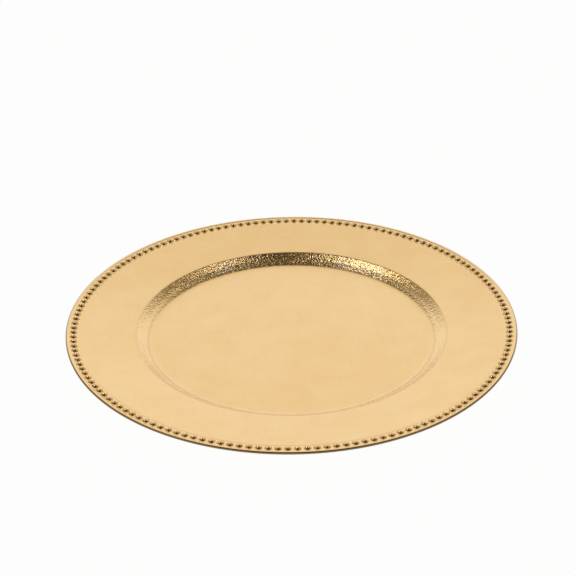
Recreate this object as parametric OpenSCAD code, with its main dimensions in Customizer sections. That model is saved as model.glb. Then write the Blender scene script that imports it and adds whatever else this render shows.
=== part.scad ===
// Beaded charger plate: a moulded blank with a dished well, a sloping rim
// and a border of small domes in a shallow channel, under a skin of metal leaf.
// Z = 0 is the table, and the Z axis is the axis of the plate.

/* [Plate] */
// Overall diameter, over the leafed edge
plate_d = 330; // [328:1:360]
// Thickness of the blank in the floor, wall and inner rim
body_t = 2.2; // [1.6:0.1:2.4]
// Overall thickness of the round-nosed edge, leaf included
edge_t = 1.9; // [1.5:0.1:2.2]

/* [Well] */
// Diameter of the well where the wall's slope meets the rim's slope
well_d = 229.2; // [216:0.2:240]
// Depth of the well below that meeting
well_depth = 6.8; // [6:0.1:9]
// Slope of the well's wall, in degrees from level
wall_slope = 32; // [29:1:38]
// Radius of the hollow curve where the wall meets the floor
fillet_r = 9; // [6:0.5:12]
// Radius of the round shoulder where the wall meets the rim
shoulder_r = 4; // [2.8:0.1:5]

/* [Rim] */
// Slope of the rim, in degrees from level
rim_slope = 7.3; // [4:0.1:10]

/* [Bead border] */
// Distance from the plate's edge to the middle of the domes
bead_inset = 5.8; // [5:0.1:10]
// Diameter of one dome where it rises from its channel
bead_d = 5.5; // [4.5:0.1:5.7]
// Gap between neighbouring domes, before it is evened out round the border
bead_gap = 0.83; // [0.6:0.01:2]
// Height of one dome above its channel
bead_h = 1.7; // [1.2:0.1:2]
// Width of the channel that the domes stand in
channel_w = 6.6; // [6.2:0.1:6.8]
// Depth of that channel below the rim's face
channel_t = 0.2; // [0.15:0.05:0.4]

/* [Leaf] */
// Thickness of the leaf with its size and lacquer
leaf_t = 0.2; // [0.1:0.05:0.3]
// Width of the leaf turned under the edge
leaf_turn = 4; // [1:0.5:8]

/* [Foot ring] */
// Distance from the end of the level floor in to the flat that the plate stands on
foot_inset = 1.8; // [1.2:0.1:20]
// Width of that flat
foot_w = 2; // [1:0.1:4]
// Height of the foot ring
foot_h = 3.6; // [1:0.1:4.5]
// How much wider the ring is at its root, on each side
foot_draft = 0.5; // [0.2:0.1:1]

/* [Hidden] */

// Chords in a rounded corner of the wall, and round the edge's nose
corner_steps = 16;
nose_steps = 6;
// Facets in a full turn of the plate, and of one dome
$fn = 180;
dome_facets = 48;

// Directions of the normals of the sloping faces, in degrees from +X
rim_up = 90 + rim_slope;
wall_up = 90 + wall_slope;
floor_down = -90;
wall_down = floor_down + wall_slope;

floor_z = foot_h + body_t + leaf_t;
edge_r = edge_t / 2;
bead_ring_r = plate_d / 2 - bead_inset;
bead_count = round(2 * PI * bead_ring_r / (bead_d + bead_gap));

// Where the straight faces would meet, were they not rounded
wall_top = [well_d / 2, floor_z + well_depth];
wall_foot_r = wall_top[0] - well_depth / tan(wall_slope);

// Centres of the rounded corners
fillet_c = [wall_foot_r - fillet_r * tan(wall_slope / 2), floor_z + fillet_r];
foot_r = fillet_c[0] - foot_inset;
shoulder_run = shoulder_r * tan((wall_slope - rim_slope) / 2);
shoulder_c = wall_top + shoulder_run * along(rim_slope) - shoulder_r * along(rim_up);
edge_c = rim_point(plate_d / 2 - edge_r) - [0, edge_r / cos(rim_slope)];

// The underside of the rim touches the shoulder's inner round and the edge's round
inner_shoulder_r = shoulder_r - leaf_t - body_t;
inner_edge_r = edge_r - leaf_t;
rounds_apart = norm(edge_c - shoulder_c);
rounds_slope = atan2(edge_c[1] - shoulder_c[1], edge_c[0] - shoulder_c[0]);
under_slope = rounds_slope - asin((inner_shoulder_r + inner_edge_r) / rounds_apart);
under_up = 90 + under_slope;
under_down = floor_down + under_slope;

// The channel's floor is part of a large ball centred over the plate,
// so that every dome meets it in a true circle
ball_r = bead_ring_r / sin(rim_slope) + channel_t;
ball_z = rim_point(bead_ring_r)[1] + bead_ring_r / tan(rim_slope);

// A dome is a cap of a smaller ball that stands square to the channel's floor
dome_r = (pow(bead_d / 2, 2) + pow(bead_h, 2)) / (2 * bead_h);
dome_sink = channel_t + dome_r - bead_h;
// Depth below the channel's floor to which a moulded dome is rooted
dome_root = 2 * leaf_t + channel_t;

// Unit vector at an angle
function along(angle) = [cos(angle), sin(angle)];

// Point of the rim's face at a radius
function rim_point(r) = [r, wall_top[1] + (r - wall_top[0]) * tan(rim_slope)];

// Points of an arc, both ends included
function arc(centre, radius, from, to, steps = corner_steps) =
    [for (i = [0 : steps]) centre + radius * along(from + (to - from) * i / steps)];

function backwards(points) = [for (i = [len(points) - 1 : -1 : 0]) points[i]];

// The face from the middle over the edge to the underside, sunk by a depth
function face(depth) = concat(
    [[0, floor_z - depth]],
    arc(fillet_c, fillet_r + depth, floor_down, wall_down),
    arc(shoulder_c, shoulder_r - depth, wall_up, rim_up),
    arc(edge_c, edge_r - depth, rim_up, under_down, nose_steps)
);

// The underside from the rim back to the middle, with the foot ring
function underside() = concat(
    arc(shoulder_c, inner_shoulder_r, under_up, wall_up),
    arc(fillet_c, fillet_r + leaf_t + body_t, wall_down, floor_down),
    [
        [foot_r + foot_draft, foot_h],
        [foot_r, 0],
        [foot_r - foot_w, 0],
        [foot_r - foot_w - foot_draft, foot_h],
        [0, foot_h]
    ]
);

// Section of the space that the channel takes from the rim, grown by a depth
module channel(depth) {
    intersection() {
        translate([0, ball_z]) circle(r = ball_r + depth, $fn = 8 * $fn);
        translate([bead_ring_r - channel_w / 2 - depth, 0])
            square([channel_w + 2 * depth, 2 * ball_z]);
    }
}

// One dome, sunk by a depth and cut off at a root below the channel's floor
module dome(depth, root) {
    rotate_extrude($fn = dome_facets)
        intersection() {
            translate([0, -dome_sink]) circle(r = dome_r - depth, $fn = 2 * dome_facets);
            translate([0, -channel_t - root]) square([bead_d, root + 2 * bead_h]);
        }
}

module bead_border(depth, root) {
    place = rim_point(bead_ring_r);
    for (i = [0 : bead_count - 1])
        rotate([0, 0, 360 * (i + 1 / 2) / bead_count])
            translate([place[0], 0, place[1]])
                rotate([0, -rim_slope, 0])
                    dome(depth, root);
}

// The moulded blank: floor, wall, rim, domes and foot ring in one shot
module plate_body() {
    color("goldenrod")
        union() {
            rotate_extrude()
                difference() {
                    polygon(concat(face(leaf_t), underside()));
                    channel(leaf_t);
                }
            bead_border(leaf_t, dome_root);
        }
}

// Section of the leaf: a strip along the face, with a lining in the channel
module leaf_section() {
    turn_start = edge_c + edge_r * along(under_down);
    turn_end = turn_start - leaf_turn * along(under_slope);
    difference() {
        union() {
            polygon(concat(
                face(0),
                [turn_end, turn_end - leaf_t * along(under_down)],
                backwards(face(leaf_t))
            ));
            intersection() {
                polygon(concat(face(0), [[edge_c[0], 0], [0, 0]]));
                channel(leaf_t);
            }
        }
        channel(0);
    }
}

// The leaf over the whole face, drawn over the domes and turned under the edge
module gold_leaf() {
    color("gold")
        difference() {
            union() {
                rotate_extrude() leaf_section();
                bead_border(0, leaf_t / 2);
            }
            bead_border(leaf_t, dome_root);
        }
}

plate_body();
gold_leaf();
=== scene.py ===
"""Beaded charger plate in a white studio: a moulded blank under a skin of gold leaf.

Lengths are metres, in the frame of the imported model: +Z up, the table at Z = 0.
"""

import math

import bmesh
import bpy
from mathutils import Matrix, Quaternion, Vector


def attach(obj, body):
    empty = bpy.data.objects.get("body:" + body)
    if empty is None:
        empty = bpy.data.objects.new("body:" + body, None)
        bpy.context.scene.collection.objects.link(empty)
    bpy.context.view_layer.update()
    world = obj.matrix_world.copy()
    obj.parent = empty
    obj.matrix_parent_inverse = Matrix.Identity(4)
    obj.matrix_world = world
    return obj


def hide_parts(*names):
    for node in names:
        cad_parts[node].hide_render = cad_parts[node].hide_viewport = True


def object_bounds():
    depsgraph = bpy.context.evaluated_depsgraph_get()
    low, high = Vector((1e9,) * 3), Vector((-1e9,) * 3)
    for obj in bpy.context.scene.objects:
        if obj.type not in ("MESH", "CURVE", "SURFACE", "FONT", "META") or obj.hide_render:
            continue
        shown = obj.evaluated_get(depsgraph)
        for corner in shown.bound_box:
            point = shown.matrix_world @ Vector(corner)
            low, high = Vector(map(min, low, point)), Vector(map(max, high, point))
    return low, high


bl_info = {
    "name": "Beaded charger plate",
    "version": (1, 0, 0),
    "blender": (4, 5, 0),
    "location": "View3D > Sidebar > Charger plate",
    "description": "Builds a gold-leafed charger plate with a beaded border, and its studio",
    "category": "Add Mesh",
}

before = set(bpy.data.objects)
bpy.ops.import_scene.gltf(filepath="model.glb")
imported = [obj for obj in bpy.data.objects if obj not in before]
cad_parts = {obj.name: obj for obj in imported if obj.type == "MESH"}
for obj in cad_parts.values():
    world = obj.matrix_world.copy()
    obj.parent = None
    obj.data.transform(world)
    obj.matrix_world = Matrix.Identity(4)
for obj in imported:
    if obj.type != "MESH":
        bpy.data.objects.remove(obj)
CAD_LOW, CAD_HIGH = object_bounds()
BODY = "root"
MM = 0.001
# Two points of a mesh that are nearer than this are one point
WELD = 0.002 * MM
# Faces that meet at more than this angle show a sharp edge
SHARP = math.radians(50)
WHITE = (1.0, 1.0, 1.0, 1.0)
BLACK = (0.0, 0.0, 0.0, 1.0)


def length(name, description, default):
    """A property that holds a length in metres."""
    return bpy.props.FloatProperty(
        name=name, description=description, default=default, min=0.0,
        precision=5, subtype="DISTANCE", unit="LENGTH",
    )


def angle(name, description, default):
    """A property that holds an angle, given here in degrees."""
    return bpy.props.FloatProperty(
        name=name, description=description, default=math.radians(default),
        subtype="ANGLE", unit="ROTATION",
    )


def share(name, description, default):
    """A property that holds a share from 0 to 1."""
    return bpy.props.FloatProperty(
        name=name, description=description, default=default, min=0.0, max=1.0,
        precision=3, subtype="FACTOR",
    )


def colour(name, description, default):
    """A property that holds a linear colour."""
    return bpy.props.FloatVectorProperty(
        name=name, description=description, default=default, size=3, min=0.0,
        max=1.0, subtype="COLOR",
    )


class PlateSizes(bpy.types.PropertyGroup):
    """The driving sizes of the plate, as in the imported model."""

    plate_d: length("Plate diameter", "Over the leafed edge", CAD_HIGH.x - CAD_LOW.x)
    body_t: length("Blank thickness", "Floor, wall and inner rim of the blank", 2.2 * MM)
    edge_t: length("Edge thickness", "Round-nosed edge, leaf included", 1.9 * MM)
    well_d: length("Well diameter", "Where the wall's slope meets the rim's", 229.2 * MM)
    well_depth: length("Well depth", "Below that meeting", 6.8 * MM)
    wall_slope: angle("Wall slope", "From level", 32.0)
    fillet_r: length("Fillet radius", "Hollow curve at the foot of the wall", 9.0 * MM)
    shoulder_r: length("Shoulder radius", "Round shoulder at the top of the wall", 4.0 * MM)
    rim_slope: angle("Rim slope", "From level", 7.3)
    bead_inset: length("Bead inset", "From the edge to the middle of the domes", 5.8 * MM)
    bead_d: length("Bead diameter", "Where a dome rises from the channel", 5.5 * MM)
    bead_gap: length("Bead gap", "Between domes, before it is evened out", 0.83 * MM)
    bead_h: length("Bead height", "Above the channel", 1.7 * MM)
    bead_foot_r: length("Bead foot radius", "Hollow curve at the foot of a dome", 0.3 * MM)
    channel_w: length("Channel width", "Channel that the domes stand in", 6.6 * MM)
    channel_t: length("Channel depth", "Below the rim's face", 0.2 * MM)
    channel_lip: length("Channel lip", "Run of the channel's sloping side", 0.7 * MM)
    leaf_t: length("Leaf thickness", "Size, leaf and lacquer together", 0.2 * MM)
    leaf_turn: length("Leaf turned under", "Width of leaf under the edge", 4.0 * MM)
    foot_inset: length("Foot inset", "From the end of the level floor in to the flat", 1.8 * MM)
    foot_w: length("Foot width", "Width of that flat", 2.0 * MM)
    foot_h: length("Foot height", "Height of the foot ring", 3.6 * MM)
    foot_draft: length("Foot draft", "How much wider the ring is at its root", 0.5 * MM)


class Finish(bpy.types.PropertyGroup):
    """Colours and textures of the leaf and of the blank below it, with painted shade at the wall's
    foot and top and along the edge.
    """

    leaf_colour: colour("Leaf", "Gold leaf under lacquer", (0.932, 0.655, 0.315))
    leaf_deep: colour("Deep leaf", "Where the leaf lies a little thicker", (0.890, 0.597, 0.262))
    cloud_size: length("Cloud size", "Mean size of the thicker places", 22 * MM)
    leaf_rough: share("Leaf roughness", "In the wall of the well", 0.17)
    satin_rough: share("Satin roughness", "On the flats, with their hairlines", 0.30)
    lacquer: share("Lacquer", "How much the lacquer's own shine shows", 0.4)
    lacquer_rough: share("Lacquer roughness", "Over the whole leaf", 0.06)
    hairline_gap: length("Hairline gap", "Mean distance from hairline to hairline", 0.45 * MM)
    hairline_h: length("Hairline height", "Height of the hairlines", 0.006 * MM)
    crinkle_size: length("Crinkle size", "Mean size of a crinkle in the wall", 1.6 * MM)
    crinkle_h: length("Crinkle height", "Height of the crinkles in the wall", 0.37 * MM)
    wall_hollow: length("Wall hollow", "Sag of the leaf over the foot of the wall", 0.5 * MM)
    # Painted shade: darker rings of leaf at the foot and at the top of the well's wall
    fold_shade_colour: colour("Folds", "Lacquer gathered where the wall bends", (0.50, 0.27, 0.09))
    fold_shade_share: share("Fold share", "How much that colour shows", 0.25)
    foot_shade_w: length("Foot fold width", "Gathered lacquer at the wall's foot", 1.8 * MM)
    top_shade_w: length("Top fold width", "Gathered lacquer at the wall's top", 1.0 * MM)
    # Painted shade and dark reflection: a darker band of leaf along the edge
    edge_shade_colour: colour("Edge", "Lacquer gathered along the edge", (0.25, 0.17, 0.08))
    edge_shade_w: length("Edge width", "Gathered lacquer along the edge", 0.6 * MM)
    edge_shade_fade: length("Edge fade", "Width over which it thins out", 0.5 * MM)
    blank_colour: colour("Blank", "Metallic coat of the underside", (0.66, 0.46, 0.2))
    blank_deep: colour("Deep blank", "Where that coat is thicker", (0.594, 0.414, 0.18))
    blank_cloud_size: length("Blank cloud size", "Mean size of the thicker places", 30 * MM)
    blank_rough: share("Blank roughness", "Of that coat, between its pits", 0.36)
    pit_size: length("Pit size", "Mean size of the moulding's faint pits", 0.8 * MM)
    pit_h: length("Pit depth", "Depth of those pits", 0.03 * MM)
    pit_rough: share("Pit roughness", "How much rougher the coat is in the pits", 0.15)


class Studio(bpy.types.PropertyGroup):
    """Camera, lights and floor."""

    camera_y: bpy.props.FloatProperty(
        name="Camera Y", description="Before the plate", default=-0.94263, unit="LENGTH"
    )
    camera_z: length("Camera height", "Above the table", 0.59031)
    camera_down: angle("Camera tilt", "How far it looks down", 30.015)
    camera_pan: angle("Camera pan", "To the right", -0.1263)
    camera_roll: angle("Camera roll", "Turn about the line of sight", -0.775)
    camera_turn: angle("Turn about the plate", "Sets the border's phase in the picture", 1.139)
    lens: bpy.props.FloatProperty(
        name="Lens", description="Focal length in millimetres", default=93.608,
        unit="CAMERA",
    )
    upper_back: colour("Upper back", "Above the white part behind the plate", (0.90, 0.87, 0.80))
    warm_colour: colour("Warm light", "At the sides, in front and overhead", (1.0, 0.77, 0.45))
    darkest: share("Darkest", "Strength of the warm light where it is least", 0.03)
    side_light: share("Side light", "Strength of the warm light at the sides", 0.66)
    front_light: share("Front light", "Its strength low in front", 0.75)
    ceiling_light: share("Ceiling light", "Its strength straight overhead", 0.11)
    softbox_distance: length("Softbox distance", "From the middle of the table", 1.6)
    left_radiance: bpy.props.FloatProperty(
        name="Left softbox", description="How bright its face is", default=4.0, min=0.0
    )
    right_radiance: bpy.props.FloatProperty(
        name="Right softbox", description="How bright its face is", default=4.2, min=0.0
    )
    floor_glow: share("Floor glow", "Part of the floor's white that needs no light", 0.97)


def direction(turn):
    """Unit vector in a section, at an angle from +X."""
    return Vector((math.cos(turn), math.sin(turn)))


def arc(centre, radius, start, stop, steps):
    """Points of an arc in a section, both ends included."""
    return [
        centre + radius * direction(start + (stop - start) * i / steps)
        for i in range(steps + 1)
    ]


class Section:
    """Construction points of the plate's section, in the plane of radius and height."""

    CORNER_STEPS = 14
    SHOULDER_STEPS = 10
    NOSE_STEPS = 12
    # Distance to the rings that keep the shading of a curve off the flat beside it
    SUPPORT = 0.6 * MM
    # The channel's sloping side from its top down: shares of its run and of its drop
    LIP_SHARES = ((1, 0), (2 / 3, 1 / 4), (1 / 3, 3 / 4), (0, 1))
    # Share of that side's run that lies inside the channel's width
    LIP_INSIDE_SHARE = 0.2
    # Size of the foot ring's eased corners, as a share of the width of its flat
    EASE_SHARE = 0.125

    def __init__(self, sizes):
        s = self.sizes = sizes
        self.rim_up = math.pi / 2 + s.rim_slope
        self.wall_up = math.pi / 2 + s.wall_slope
        self.floor_down = -math.pi / 2
        self.wall_down = self.floor_down + s.wall_slope
        self.floor_z = s.foot_h + s.body_t + s.leaf_t
        self.wall_top = Vector((s.well_d / 2, self.floor_z + s.well_depth))
        # Where the wall's slope would meet the floor, were the corner not rounded
        corner_r = self.wall_top.x - s.well_depth / math.tan(s.wall_slope)
        self.fillet_c = Vector((
            corner_r - s.fillet_r * math.tan(s.wall_slope / 2),
            self.floor_z + s.fillet_r,
        ))
        self.wall_foot_r = self.fillet_c.x + s.fillet_r * math.sin(s.wall_slope)
        shoulder_run = s.shoulder_r * math.tan((s.wall_slope - s.rim_slope) / 2)
        self.shoulder_c = (
            self.wall_top
            + shoulder_run * direction(s.rim_slope)
            - s.shoulder_r * direction(self.rim_up)
        )
        self.wall_top_r = self.shoulder_c.x - s.shoulder_r * math.sin(s.wall_slope)
        self.edge_r = s.edge_t / 2
        self.edge_c = self.rim_point(s.plate_d / 2 - self.edge_r)
        self.edge_c.y -= self.edge_r / math.cos(s.rim_slope)
        self.inner_shoulder_r = s.shoulder_r - s.leaf_t - s.body_t
        apart = self.edge_c - self.shoulder_c
        rounds = self.inner_shoulder_r + self.edge_r - s.leaf_t
        self.under_slope = math.atan2(apart.y, apart.x) - math.asin(rounds / apart.length)
        self.under_down = self.floor_down + self.under_slope
        self.bead_ring_r = s.plate_d / 2 - s.bead_inset
        self.bead_count = round(math.tau * self.bead_ring_r / (s.bead_d + s.bead_gap))
        self.bead_c = self.rim_point(self.bead_ring_r)
        self.channel_half = s.channel_w / 2 - self.LIP_INSIDE_SHARE * s.channel_lip
        self.foot_r = self.fillet_c.x - s.foot_inset

    def rim_point(self, radius):
        """Point of the rim's face at a radius."""
        rise = (radius - self.wall_top.x) * math.tan(self.sizes.rim_slope)
        return Vector((radius, self.wall_top.y + rise))

    def on_rim(self, outward, up):
        """Point at a distance out from the bead circle along the rim, and up from it."""
        slope = self.sizes.rim_slope
        return self.bead_c + outward * direction(slope) + up * direction(self.rim_up)

    def inner_face(self, depth):
        """From the middle to the channel's floor, sunk by a depth."""
        s = self.sizes
        floor = self.floor_z - depth
        fillet = arc(self.fillet_c, s.fillet_r + depth, self.floor_down, self.wall_down,
                     self.CORNER_STEPS)
        shoulder = arc(self.shoulder_c, s.shoulder_r - depth, self.wall_up, self.rim_up,
                       self.SHOULDER_STEPS)
        lip = self.channel_lip(depth, -1)
        return [
            Vector((0.0, floor)),
            Vector((self.fillet_c.x / 2, floor)),
            Vector((self.fillet_c.x - self.SUPPORT, floor)),
            *fillet,
            *shoulder,
            shoulder[-1] + self.SUPPORT * direction(s.rim_slope),
            (shoulder[-1] + lip[0]) / 2,
            lip[0] - self.SUPPORT * direction(s.rim_slope),
            *lip,
        ]

    def channel_lip(self, depth, side):
        """The channel's sloping side, from the rim's face down to its floor."""
        s = self.sizes
        start = side * (self.channel_half + depth)
        run = side * s.channel_lip
        down = -s.channel_t - depth
        return [
            self.on_rim(start + run * out, down * drop - depth * (1 - drop))
            for out, drop in self.LIP_SHARES
        ]

    def outer_face(self, depth):
        """From the channel's floor over the edge to its underside, sunk by a depth."""
        s = self.sizes
        lip = self.channel_lip(depth, 1)
        lip.reverse()
        nose = arc(self.edge_c, self.edge_r - depth, self.rim_up, self.under_down,
                   self.NOSE_STEPS)
        flat = (nose[0] - lip[-1]).length
        step = min(self.SUPPORT, flat / 3) * direction(s.rim_slope)
        return [*lip, lip[-1] + step, nose[0] - step, *nose]

    def turned_edge(self, depth):
        """Point of the leaf's edge below the rim, at a depth in the leaf."""
        s = self.sizes
        start = self.edge_c + (self.edge_r - depth) * direction(self.under_down)
        return start - s.leaf_turn * direction(self.under_slope)

    def underside(self):
        """The blank's underside, from the leaf's edge back to the middle."""
        s = self.sizes
        under_up = math.pi / 2 + self.under_slope
        shoulder = arc(self.shoulder_c, self.inner_shoulder_r, under_up, self.wall_up,
                       self.SHOULDER_STEPS)
        fillet = arc(self.fillet_c, s.fillet_r + s.leaf_t + s.body_t, self.wall_down,
                     self.floor_down, self.CORNER_STEPS)
        along = self.SUPPORT * direction(self.under_slope)
        start = self.turned_edge(s.leaf_t)
        return [
            start,
            (start + shoulder[0]) / 2,
            shoulder[0] + along,
            *shoulder,
            *fillet,
            Vector((fillet[-1].x - self.SUPPORT, s.foot_h)),
            *self.foot_ring(),
            Vector((self.foot_inner_r() / 2, s.foot_h)),
            Vector((0.0, s.foot_h)),
        ]

    def foot_inner_r(self):
        """Radius of the foot ring's inner root."""
        s = self.sizes
        return self.foot_r - s.foot_w - s.foot_draft

    def foot_ring(self):
        """The foot ring, from its outer root to its inner root, with eased corners."""
        s = self.sizes
        ease = s.foot_w * self.EASE_SHARE
        outer, inner = self.foot_r, self.foot_r - s.foot_w
        drop = s.foot_draft / s.foot_h
        return [
            Vector((outer + s.foot_draft + ease, s.foot_h)),
            Vector((outer + s.foot_draft, s.foot_h - ease)),
            Vector((outer + drop * ease, ease)),
            Vector((outer - ease, 0.0)),
            Vector((inner + ease, 0.0)),
            Vector((inner - drop * ease, ease)),
            Vector((inner - s.foot_draft, s.foot_h - ease)),
            Vector((inner - s.foot_draft - ease, s.foot_h)),
        ]


# Points round a dome, and steps from its top to its foot
BEAD_SIDES = 16
BEAD_STEPS = 3
# A dome's ring of points meets the square patch round it with a quarter of them on each side
RING_STEPS_PER_BEAD = BEAD_SIDES // 4
UP = Vector((0.0, 0.0, 1.0))


def spin_line(bm, points, steps, whole=math.tau):
    """Revolves a line of (radius, height) points round the Z axis, in a mesh of its own."""
    verts = [bm.verts.new((p.x, 0.0, p.y)) for p in points]
    edges = [bm.edges.new(pair) for pair in zip(verts, verts[1:])]
    bmesh.ops.spin(
        bm, geom=verts + edges, cent=(0, 0, 0), axis=UP, angle=whole, steps=steps,
        use_merge=whole == math.tau,
    )
    bmesh.ops.remove_doubles(bm, verts=bm.verts, dist=WELD)


def bead_profile(sizes, depth):
    """A dome from its top to the end of its foot, as points of radius and height above the rim."""
    radius = ((sizes.bead_d / 2) ** 2 + sizes.bead_h**2) / (2 * sizes.bead_h)
    floor = -sizes.channel_t
    centre = Vector((0.0, floor + sizes.bead_h - radius))
    foot_z = floor + sizes.bead_foot_r
    foot_x = math.sqrt((radius + sizes.bead_foot_r) ** 2 - (foot_z - centre.y) ** 2)
    foot = Vector((foot_x, foot_z))
    slope = math.atan2(foot.y - centre.y, foot.x)
    dome = arc(centre, radius - depth, math.pi / 2, slope, BEAD_STEPS)
    return [*dome, foot - Vector((0.0, sizes.bead_foot_r + depth))]


def border_patch(section, depth):
    """One dome with the patch of channel round it, laid flat: X outwards, Y round."""
    bm = bmesh.new()
    spin_line(bm, bead_profile(section.sizes, depth), BEAD_SIDES)
    rim = [e for e in bm.edges if e.is_boundary]
    grown = bmesh.ops.extrude_edge_only(bm, edges=rim)["geom"]
    half_out = section.channel_half + depth
    half_along = math.pi * section.bead_ring_r / section.bead_count
    # Each point goes straight out to the nearest corner, middle or quarter of a side
    for vert in (g for g in grown if isinstance(g, bmesh.types.BMVert)):
        longest = max(abs(vert.co.x), abs(vert.co.y))
        out = round(2 * vert.co.x / longest) / 2
        along = round(2 * vert.co.y / longest) / 2
        vert.co.x, vert.co.y = out * half_out, along * half_along
    return bm


def lay_on_rim(bm, section):
    """Bends a flat patch on to the rim: X runs outwards, Y round the bead circle."""
    for vert in bm.verts:
        place = section.on_rim(vert.co.x, vert.co.z)
        turn = vert.co.y / section.bead_ring_r
        vert.co = Vector((place.x * math.cos(turn), place.x * math.sin(turn), place.y))


def add_mesh(bm, other):
    """Moves the whole of another mesh into this one."""
    carrier = bpy.data.meshes.new("carrier")
    other.to_mesh(carrier)
    other.free()
    bm.from_mesh(carrier)
    bpy.data.meshes.remove(carrier)


def one_pitch(section, depth):
    """The face at a depth over one pitch of the border, from the middle to the underside."""
    pitch = math.tau / section.bead_count
    bm = border_patch(section, depth)
    lay_on_rim(bm, section)
    bmesh.ops.rotate(
        bm, verts=bm.verts, cent=(0, 0, 0), matrix=Matrix.Rotation(pitch / 2, 3, "Z")
    )
    outer = [*section.outer_face(depth), section.turned_edge(depth)]
    for line in (section.inner_face(depth), outer):
        strip = bmesh.new()
        spin_line(strip, line, RING_STEPS_PER_BEAD, pitch)
        add_mesh(bm, strip)
    return bm


def go_round(bm, pitches):
    """Repeats the mesh of one pitch all the way round and welds it."""
    pitch = math.tau / pitches
    bmesh.ops.spin(
        bm, geom=bm.verts[:] + bm.edges[:] + bm.faces[:], cent=(0, 0, 0), axis=UP,
        angle=math.tau - pitch, steps=pitches - 1, use_duplicate=True,
    )
    bmesh.ops.remove_doubles(bm, verts=bm.verts, dist=WELD)


def finish_piece(bm, name, material):
    """Makes a closed mesh an object that rides on the plate's body."""
    if any(not edge.is_manifold for edge in bm.edges):
        raise RuntimeError(f"{name} is not closed")
    bmesh.ops.recalc_face_normals(bm, faces=bm.faces)
    for face in bm.faces:
        face.smooth = True
    mesh = bpy.data.meshes.new(name)
    bm.to_mesh(mesh)
    bm.free()
    mesh.set_sharp_from_angle(angle=SHARP)
    mesh.materials.append(material)
    piece = bpy.data.objects.new(name, mesh)
    bpy.context.scene.collection.objects.link(piece)
    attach(piece, BODY)
    return piece


class Nodes:
    """Short ways to add and link shader nodes."""

    def __init__(self, tree):
        self.tree = tree
        tree.nodes.clear()

    def add(self, kind, values=(), **settings):
        """A new node with its settings, and values for its inputs by name or number."""
        node = self.tree.nodes.new(kind)
        for key, value in settings.items():
            setattr(node, key, value)
        for key, value in dict(values).items():
            self.feed(node.inputs[key], value)
        return node

    def feed(self, socket, value):
        """Links an output to a socket, or sets the socket's own value."""
        if isinstance(value, bpy.types.NodeSocket):
            self.tree.links.new(value, socket)
        else:
            socket.default_value = value

    def math(self, operation, first, second=0.0, third=0.0, clamp=False):
        """The output of a math node."""
        node = self.add("ShaderNodeMath", operation=operation, use_clamp=clamp)
        for socket, value in zip(node.inputs, (first, second, third)):
            self.feed(socket, value)
        return node.outputs[0]

    def ramp(self, value, low, high, start=0.0, stop=1.0):
        """A smooth step of a value from one range to another."""
        node = self.add(
            "ShaderNodeMapRange",
            {"Value": value, "From Min": low, "From Max": high, "To Min": start,
             "To Max": stop},
            interpolation_type="SMOOTHSTEP",
        )
        return node.outputs[0]

    def mix(self, share_of_second, first, second):
        """A mix of two colours."""
        node = self.add("ShaderNodeMix", data_type="RGBA", clamp_factor=True)
        wanted = {
            ("Factor", "VALUE"): share_of_second,
            ("A", "RGBA"): first,
            ("B", "RGBA"): second,
        }
        for socket in node.inputs:
            if (socket.name, socket.type) in wanted:
                self.feed(socket, wanted[socket.name, socket.type])
        return next(out for out in node.outputs if out.type == "RGBA")

    def end_in(self, shader, kind="ShaderNodeOutputMaterial"):
        """Makes a shader the surface of the whole tree."""
        output = self.add(kind)
        self.feed(output.inputs["Surface"], shader.outputs[0])


def rgba(linear):
    """A colour with full opacity."""
    return (*linear, 1.0)


def new_material(name):
    """An empty node material with its node helper."""
    material = bpy.data.materials.new(name)
    material.use_nodes = True
    return material, Nodes(material.node_tree)


def noise(nodes, coordinates, size, stretch=(1, 1, 1), detail=2.0, roughness=0.5):
    """A noise texture whose features have a size in metres, stretched along an axis."""
    scale = [1 / (size * along) for along in stretch]
    placed = nodes.add(
        "ShaderNodeMapping", {"Vector": coordinates, "Scale": scale}, vector_type="POINT"
    )
    texture = nodes.add(
        "ShaderNodeTexNoise",
        {"Vector": placed.outputs[0], "Scale": 1.0, "Detail": detail, "Roughness": roughness},
        noise_dimensions="3D",
    )
    return texture.outputs["Fac"]


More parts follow.
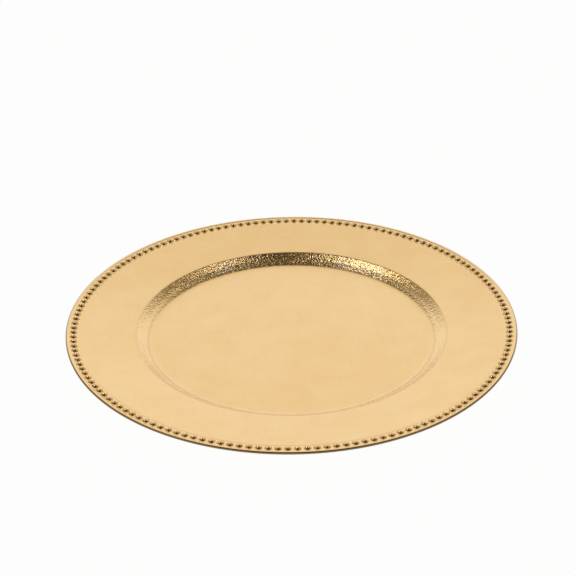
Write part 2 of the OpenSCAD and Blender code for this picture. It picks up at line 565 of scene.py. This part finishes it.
class LeafSurface:
    """Colour, roughness and bump of the leaf, as values of shader nodes."""

    # How much longer a hairline is than it is wide
    HAIRLINE_STRETCH = 40
    # How much the clouds and the hairlines count in where the leaf looks thicker
    CLOUD_SHARE = 0.7
    LINE_SHARE = 0.5
    # Values of their sum between which the colour deepens
    DEEPENS = (0.35, 0.85)
    # The crinkles fade out on the floor, and from the top of the wall on to the rim
    FADE_ON_FLOOR = 3 * MM
    FADE_ON_WALL = 0.5 * MM
    FADE_ON_RIM = 1 * MM
    # The leaf sags from just inside the wall's foot to a little way up
    SAG_START = 1 * MM
    SAG_END = 4 * MM
    # The painted shade lies this far inside the wall's foot, and outside its top
    FOOT_SHADE_IN = 0.4 * MM
    TOP_SHADE_OUT = 0.3 * MM
    # Where the smoother leaf of the border begins and is complete, inside the domes' circle
    BORDER_START = 5 * MM
    BORDER_FULL = 3 * MM
    # How far the border is on the way from satin to the wall's polish
    BORDER_POLISH_SHARE = 0.35
    # Difference in roughness between hairlines and what lies between them
    LINE_ROUGH = 0.12

    def __init__(self, nodes, section, finish):
        self.nodes = nodes
        self.section = section
        self.finish = finish
        self.place = nodes.add("ShaderNodeTexCoord").outputs["Object"]
        self.radius = self.distance_from_axis()
        self.lines = self.hairlines()
        self.wall = self.wall_mask()

    def distance_from_axis(self):
        """Distance from the plate's axis."""
        level = self.nodes.add(
            "ShaderNodeVectorMath", {0: self.place, 1: (1, 1, 0)}, operation="MULTIPLY"
        ).outputs[0]
        span = self.nodes.add("ShaderNodeVectorMath", {0: level}, operation="LENGTH")
        return span.outputs["Value"]

    def hairlines(self):
        """Fine lines of polishing that run both ways."""
        nodes, gap, stretch = self.nodes, self.finish.hairline_gap, self.HAIRLINE_STRETCH
        lines_x = noise(nodes, self.place, gap, (stretch, 1, stretch), detail=3.0)
        lines_y = noise(nodes, self.place, gap, (1, stretch, stretch), detail=3.0)
        half_x = nodes.math("MULTIPLY", lines_x, 0.5)
        return nodes.math("MULTIPLY_ADD", lines_y, 0.5, half_x)

    def wall_mask(self):
        """A mask that is 1 in the wall of the well and 0 on the flats."""
        foot, top = self.section.wall_foot_r, self.section.wall_top_r
        inner = self.nodes.ramp(self.radius, foot - self.FADE_ON_FLOOR, foot)
        outer = self.nodes.ramp(
            self.radius, top - self.FADE_ON_WALL, top + self.FADE_ON_RIM, 1, 0
        )
        return self.nodes.math("MULTIPLY", inner, outer)

    def ring_mask(self, middle, reach):
        """A mask that is 1 on a circle and fades to 0 at a distance on both sides of it."""
        inner = self.nodes.ramp(self.radius, middle - reach, middle)
        outer = self.nodes.ramp(self.radius, middle, middle + reach, 1, 0)
        return self.nodes.math("MULTIPLY", inner, outer)

    def bump(self):
        """Hairlines, crinkles in the wall and the sag over its foot."""
        nodes, finish, foot = self.nodes, self.finish, self.section.wall_foot_r
        crinkle = noise(nodes, self.place, finish.crinkle_size)
        crinkle = nodes.math("MULTIPLY", nodes.math("SUBTRACT", crinkle, 0.5), self.wall)
        crinkle = nodes.math("MULTIPLY", crinkle, finish.crinkle_h / MM)
        height = nodes.math("MULTIPLY_ADD", self.lines, finish.hairline_h / MM, crinkle)
        sag = nodes.ramp(self.radius, foot - self.SAG_START, foot + self.SAG_END,
                         0, -finish.wall_hollow / MM)
        height = nodes.math("ADD", height, sag)
        bump = nodes.add("ShaderNodeBump", {"Strength": 1.0, "Distance": MM, "Height": height})
        return bump.outputs[0]

    def base_colour(self):
        """Leaf with thicker places, painted shade at the foot and top of the wall, and painted
        shade and dark reflection along the edge.
        """
        nodes, finish, section = self.nodes, self.finish, self.section
        clouds = noise(nodes, self.place, finish.cloud_size, detail=3.0, roughness=0.6)
        thick = nodes.math("MULTIPLY", clouds, self.CLOUD_SHARE)
        thick = nodes.math("MULTIPLY_ADD", self.lines, self.LINE_SHARE, thick)
        deep = nodes.ramp(thick, *self.DEEPENS)
        base = nodes.mix(deep, rgba(finish.leaf_colour), rgba(finish.leaf_deep))
        # Painted shade: the leaf is darker on rings at the wall's foot and top
        folds = nodes.math(
            "MAXIMUM",
            self.ring_mask(section.wall_foot_r - self.FOOT_SHADE_IN, finish.foot_shade_w),
            self.ring_mask(section.wall_top_r + self.TOP_SHADE_OUT, finish.top_shade_w),
        )
        folds = nodes.math("MULTIPLY", folds, finish.fold_shade_share)
        base = nodes.mix(folds, base, rgba(finish.fold_shade_colour))
        # Painted shade and dark reflection: the leaf darkens towards the edge
        dark_r = section.sizes.plate_d / 2 - finish.edge_shade_w
        edge = nodes.ramp(self.radius, dark_r - finish.edge_shade_fade, dark_r)
        return nodes.mix(edge, base, rgba(finish.edge_shade_colour))

    def roughness(self):
        """Satin on the flats, smoother in the border and smoothest in the wall."""
        nodes, finish, ring = self.nodes, self.finish, self.section.bead_ring_r
        border = nodes.ramp(self.radius, ring - self.BORDER_START, ring - self.BORDER_FULL)
        border = nodes.math("MULTIPLY", border, self.BORDER_POLISH_SHARE)
        polished = nodes.math("MAXIMUM", self.wall, border)
        # The hairlines' mean is a half, so half their roughness comes off first
        rough = nodes.math(
            "MULTIPLY_ADD", polished, finish.leaf_rough - finish.satin_rough,
            finish.satin_rough - self.LINE_ROUGH / 2,
        )
        return nodes.math("MULTIPLY_ADD", self.lines, self.LINE_ROUGH, rough)


def leaf_material(section, finish):
    """Lacquered gold leaf: hairlines both ways on the flats, crinkles in the wall."""
    material, nodes = new_material("gold_leaf")
    leaf = LeafSurface(nodes, section, finish)
    shader = nodes.add(
        "ShaderNodeBsdfPrincipled",
        {
            "Base Color": leaf.base_colour(),
            "Metallic": 1.0,
            "Roughness": leaf.roughness(),
            "Normal": leaf.bump(),
            "Coat Weight": finish.lacquer,
            "Coat Roughness": finish.lacquer_rough,
        },
    )
    nodes.end_in(shader)
    return material


# Values of the clouds between which the blank's colour deepens
BLANK_DEEPENS = (0.3, 0.75)


def blank_material(finish):
    """Satin metallic coat on the underside, with the faint pits of a moulding."""
    material, nodes = new_material("blank")
    place = nodes.add("ShaderNodeTexCoord").outputs["Object"]
    pits = noise(nodes, place, finish.pit_size, detail=3.0)
    clouds = noise(nodes, place, finish.blank_cloud_size)
    deep = nodes.ramp(clouds, *BLANK_DEEPENS)
    base = nodes.mix(deep, rgba(finish.blank_colour), rgba(finish.blank_deep))
    rough = nodes.math("MULTIPLY_ADD", pits, finish.pit_rough, finish.blank_rough)
    bump = nodes.add(
        "ShaderNodeBump", {"Strength": 0.5, "Distance": finish.pit_h, "Height": pits}
    )
    shader = nodes.add(
        "ShaderNodeBsdfPrincipled",
        {
            "Base Color": base,
            "Metallic": 0.75,
            "Roughness": rough,
            "Normal": bump.outputs[0],
        },
    )
    nodes.end_in(shader)
    return material


class CHARGER_OT_gold_leaf(bpy.types.Operator):
    """Lays the leaf over the face and the domes, round the edge and a little under it"""

    bl_idname = "charger.gold_leaf"
    bl_label = "Gold leaf"

    def execute(self, context):
        section = Section(context.scene.plate_sizes)
        sizes = section.sizes
        bm = one_pitch(section, 0.0)
        add_mesh(bm, one_pitch(section, sizes.leaf_t))
        edge = bmesh.new()
        edge_line = [section.turned_edge(0.0), section.turned_edge(sizes.leaf_t)]
        spin_line(edge, edge_line, RING_STEPS_PER_BEAD, math.tau / section.bead_count)
        add_mesh(bm, edge)
        go_round(bm, section.bead_count)
        material = leaf_material(section, context.scene.plate_finish)
        piece = finish_piece(bm, "leaf_skin", material)
        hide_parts("gold_leaf")
        return {"FINISHED"}


class CHARGER_OT_blank(bpy.types.Operator):
    """Moulds the blank: the face below the leaf, the underside and the foot ring"""

    bl_idname = "charger.blank"
    bl_label = "Moulded blank"

    def execute(self, context):
        section = Section(context.scene.plate_sizes)
        bm = one_pitch(section, section.sizes.leaf_t)
        below = bmesh.new()
        pitch = math.tau / section.bead_count
        spin_line(below, section.underside(), RING_STEPS_PER_BEAD, pitch)
        add_mesh(bm, below)
        go_round(bm, section.bead_count)
        material = blank_material(context.scene.plate_finish)
        piece = finish_piece(bm, "moulded_blank", material)
        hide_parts("plate_body")
        return {"FINISHED"}


# Where the studio's walls and ceiling fade in: from nothing to full, as components of the
# unit vector towards them, with X to the right, Y to the back and Z up
BACK_WALL = (0.24, 0.52)
UPPER_BACK_WALL = (0.52, 0.70)
SIDE_WALLS = (0.45, 0.84)
FRONT_WALL = (-0.40, -0.70)
TOP_OF_FRONT = (0.70, 0.58)
CEILING = (0.980, 0.995)
# How fast the back wall narrows towards the sides, and how far it reaches more to the right
BACK_NARROWS = 0.52
BACK_TO_RIGHT = 0.05


def studio_world(studio):
    """A studio that is white behind the plate, warm at the sides and in front, and dim above."""
    world = bpy.data.worlds.new("studio")
    world.use_nodes = True
    nodes = Nodes(world.node_tree)
    ray = nodes.add("ShaderNodeTexCoord").outputs["Generated"]
    split = nodes.add("ShaderNodeSeparateXYZ", {"Vector": ray}).outputs
    sideways = nodes.math("ABSOLUTE", split["X"])
    behind = nodes.math("MULTIPLY_ADD", sideways, -BACK_NARROWS, split["Y"])
    behind = nodes.math("MULTIPLY_ADD", split["X"], BACK_TO_RIGHT, behind)
    back = nodes.ramp(behind, *BACK_WALL)
    sides = nodes.ramp(sideways, *SIDE_WALLS, studio.darkest, studio.side_light)
    low = nodes.ramp(split["Z"], *TOP_OF_FRONT, 0.0, studio.front_light)
    front = nodes.math("MULTIPLY", low, nodes.ramp(split["Y"], *FRONT_WALL))
    ceiling = nodes.ramp(split["Z"], *CEILING, 0.0, studio.ceiling_light)
    warm = nodes.math("MAXIMUM", nodes.math("MAXIMUM", sides, front), ceiling)
    warm = nodes.mix(warm, BLACK, rgba(studio.warm_colour))
    upper = nodes.ramp(split["Z"], *UPPER_BACK_WALL)
    white = nodes.mix(upper, WHITE, rgba(studio.upper_back))
    shade = nodes.mix(back, warm, white)
    shader = nodes.add("ShaderNodeBackground", {"Color": shade, "Strength": 1.0})
    nodes.end_in(shader, "ShaderNodeOutputWorld")
    return world


def softbox(name, towards, distance, size, roll, radiance):
    """An oval area light that looks at the plate from a direction."""
    data = bpy.data.lights.new(name, "AREA")
    data.shape = "ELLIPSE"
    data.size, data.size_y = size
    face = math.pi / 4 * data.size * data.size_y
    data.energy = math.pi * face * radiance
    light = bpy.data.objects.new(name, data)
    ray = Vector(towards).normalized()
    light.location = ray * distance
    light.rotation_mode = "QUATERNION"
    facing = ray.to_track_quat("Z", "Y")
    light.rotation_quaternion = facing @ Quaternion((0, 0, 1), math.radians(roll))
    bpy.context.scene.collection.objects.link(light)


def floor_material(studio):
    """A white floor that keeps the plate's shadow."""
    material, nodes = new_material("floor")
    path = nodes.add("ShaderNodeLightPath").outputs
    seen = nodes.math("ADD", path["Is Camera Ray"], path["Is Glossy Ray"])
    seen = nodes.math("ADD", seen, path["Is Transmission Ray"], clamp=True)
    cloth = nodes.add("ShaderNodeBsdfDiffuse", {"Color": WHITE, "Roughness": 0.5})
    glow = nodes.add("ShaderNodeEmission", {"Color": WHITE, "Strength": 1.0})
    part = nodes.math("MULTIPLY", seen, studio.floor_glow)
    both = nodes.add("ShaderNodeMixShader", {0: part, 1: cloth.outputs[0], 2: glow.outputs[0]})
    nodes.end_in(both)
    return material


def add_floor(studio):
    """A round floor at the plate's foot, large enough to fill every view."""
    bm = bmesh.new()
    bmesh.ops.create_circle(bm, cap_ends=True, radius=8.0, segments=64)
    mesh = bpy.data.meshes.new("studio_floor")
    bm.to_mesh(mesh)
    bm.free()
    mesh.materials.append(floor_material(studio))
    floor = bpy.data.objects.new("studio_floor", mesh)
    bpy.context.scene.collection.objects.link(floor)


def add_camera(studio):
    """The camera at the photograph's place, turned to the border's phase."""
    data = bpy.data.cameras.new("camera")
    data.sensor_fit = "HORIZONTAL"
    data.sensor_width = 36.0
    data.lens = studio.lens
    data.clip_start = 0.05
    data.clip_end = 50.0
    camera = bpy.data.objects.new("camera", data)
    bpy.context.scene.collection.objects.link(camera)
    turn = Matrix.Rotation(studio.camera_turn, 4, "Z")
    stand = Matrix.Translation((0.0, studio.camera_y, studio.camera_z))
    pan = Matrix.Rotation(-studio.camera_pan, 4, "Z")
    tilt = Matrix.Rotation(math.pi / 2 - studio.camera_down, 4, "X")
    roll = Matrix.Rotation(studio.camera_roll, 4, "Z")
    camera.matrix_world = turn @ stand @ pan @ tilt @ roll
    bpy.context.scene.camera = camera


class CHARGER_OT_stage(bpy.types.Operator):
    """Sets up the floor, the studio's light and the camera"""

    bl_idname = "charger.stage"
    bl_label = "Studio"

    def execute(self, context):
        scene, studio = context.scene, context.scene.plate_studio
        scene.view_settings.view_transform = "Standard"
        scene.world = studio_world(studio)
        add_floor(studio)
        softbox(
            "softbox_left", towards=(-0.40, 0.17, 0.90), distance=studio.softbox_distance,
            size=(0.76, 0.28), roll=71.0, radiance=studio.left_radiance,
        )
        softbox(
            "softbox_right", towards=(0.38, 0.15, 0.91), distance=studio.softbox_distance,
            size=(0.48, 0.20), roll=-71.0, radiance=studio.right_radiance,
        )
        add_camera(studio)
        return {"FINISHED"}


class CHARGER_PT_sidebar(bpy.types.Panel):
    """Lists the steps that build the plate and its studio"""

    bl_idname = "CHARGER_PT_sidebar"
    bl_label = "Charger plate"
    bl_space_type = "VIEW_3D"
    bl_region_type = "UI"
    bl_category = "Charger plate"

    def draw(self, context):
        layout = self.layout
        for operator in OPERATORS:
            layout.operator(operator.bl_idname)
        for group in GROUPS:
            holder = getattr(context.scene, group)
            for name in holder.bl_rna.properties.keys():
                if name not in ("name", "rna_type"):
                    layout.prop(holder, name)


OPERATORS = (CHARGER_OT_blank, CHARGER_OT_gold_leaf, CHARGER_OT_stage)
GROUPS = {"plate_sizes": PlateSizes, "plate_finish": Finish, "plate_studio": Studio}


def register():
    """Registers the properties, the operators and the panel."""
    for group in GROUPS.values():
        bpy.utils.register_class(group)
    for operator in OPERATORS:
        bpy.utils.register_class(operator)
    bpy.utils.register_class(CHARGER_PT_sidebar)
    for name, group in GROUPS.items():
        setattr(bpy.types.Scene, name, bpy.props.PointerProperty(type=group))


def unregister():
    """Takes the panel, the operators and the properties away again."""
    for name in GROUPS:
        delattr(bpy.types.Scene, name)
    bpy.utils.unregister_class(CHARGER_PT_sidebar)
    for operator in reversed(OPERATORS):
        bpy.utils.unregister_class(operator)
    for group in reversed(GROUPS.values()):
        bpy.utils.unregister_class(group)


def main():
    """Builds the plate and its studio."""
    register()
    bpy.ops.charger.blank()
    bpy.ops.charger.gold_leaf()
    bpy.ops.charger.stage()


if __name__ == "__main__":
    main()
